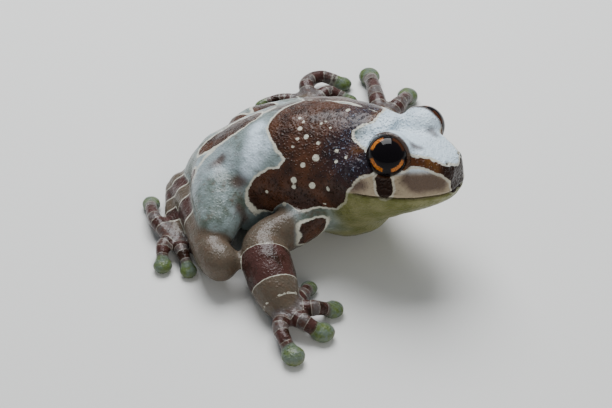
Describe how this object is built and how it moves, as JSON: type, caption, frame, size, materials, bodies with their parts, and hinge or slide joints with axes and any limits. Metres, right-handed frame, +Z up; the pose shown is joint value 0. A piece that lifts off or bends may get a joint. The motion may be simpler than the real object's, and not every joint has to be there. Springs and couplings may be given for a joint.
{
  "type": "amazon milk frog model",
  "caption": "Life-size museum model of a banded tree frog sitting on a flat floor, legs folded, head raised and looking ahead.",
  "frame": {"origin": "bottom centre of the bounding box, on the floor the frog rests on", "axes": "+X points where the frog looks, +Y to the frog's left, +Z up; the picture's camera stands at azimuth 31 degrees and elevation 39 degrees"},
  "size_m": [0.0402, 0.0584, 0.0213],
  "materials": {
    "eye_left": "wet, glossy, black with gold lines",
    "eye_right": "wet, glossy, black with gold lines",
    "finger_1_left": "moist, finely granular skin, brown with pale bands",
    "finger_1_right": "moist, finely granular skin, brown with pale bands",
    "finger_2_left": "moist, finely granular skin, brown with pale bands",
    "finger_2_right": "moist, finely granular skin, brown with pale bands",
    "finger_3_left": "moist, finely granular skin, brown with pale bands",
    "finger_3_right": "moist, finely granular skin, brown with pale bands",
    "finger_4_left": "moist, finely granular skin, brown with pale bands",
    "finger_4_right": "moist, finely granular skin, brown with pale bands",
    "foot_left": "moist, finely granular skin, brown with pale bands",
    "foot_right": "moist, finely granular skin, brown with pale bands",
    "forearm_left": "moist, finely granular skin, brown with pale bands",
    "forearm_right": "moist, finely granular skin, brown with pale bands",
    "hand_left": "moist, finely granular skin, brown with pale bands",
    "hand_right": "moist, finely granular skin, brown with pale bands",
    "head": "moist skin, pale blue-white cap and brown bands",
    "shank_left": "moist, finely granular skin, brown with pale bands",
    "shank_right": "moist, finely granular skin, brown with pale bands",
    "thigh_left": "moist, finely granular skin, brown with pale bands",
    "thigh_right": "moist, finely granular skin, brown with pale bands",
    "toe_1_left": "moist, finely granular skin, brown with pale bands",
    "toe_1_right": "moist, finely granular skin, brown with pale bands",
    "toe_2_left": "moist, finely granular skin, brown with pale bands",
    "toe_2_right": "moist, finely granular skin, brown with pale bands",
    "toe_3_left": "moist, finely granular skin, brown with pale bands",
    "toe_3_right": "moist, finely granular skin, brown with pale bands",
    "toe_4_left": "moist, finely granular skin, brown with pale bands",
    "toe_4_right": "moist, finely granular skin, brown with pale bands",
    "toe_5_left": "moist, finely granular skin, brown with pale bands",
    "toe_5_right": "moist, finely granular skin, brown with pale bands",
    "torso": "moist, finely granular skin, brown with pale bands",
    "upper_arm_left": "moist, finely granular skin, brown with pale bands",
    "upper_arm_right": "moist, finely granular skin, brown with pale bands"
  },
  "bodies": {
    "root": {"eye_left": "eye_left", "eye_right": "eye_right", "finger_1_left": "finger_1_left", "finger_1_right": "finger_1_right", "finger_2_left": "finger_2_left", "finger_2_right": "finger_2_right", "finger_3_left": "finger_3_left", "finger_3_right": "finger_3_right", "finger_4_left": "finger_4_left", "finger_4_right": "finger_4_right", "foot_left": "foot_left", "foot_right": "foot_right", "forearm_left": "forearm_left", "forearm_right": "forearm_right", "hand_left": "hand_left", "hand_right": "hand_right", "head": "head", "shank_left": "shank_left", "shank_right": "shank_right", "thigh_left": "thigh_left", "thigh_right": "thigh_right", "toe_1_left": "toe_1_left", "toe_1_right": "toe_1_right", "toe_2_left": "toe_2_left", "toe_2_right": "toe_2_right", "toe_3_left": "toe_3_left", "toe_3_right": "toe_3_right", "toe_4_left": "toe_4_left", "toe_4_right": "toe_4_right", "toe_5_left": "toe_5_left", "toe_5_right": "toe_5_right", "torso": "torso", "upper_arm_left": "upper_arm_left", "upper_arm_right": "upper_arm_right"}
  },
  "joints": []
}
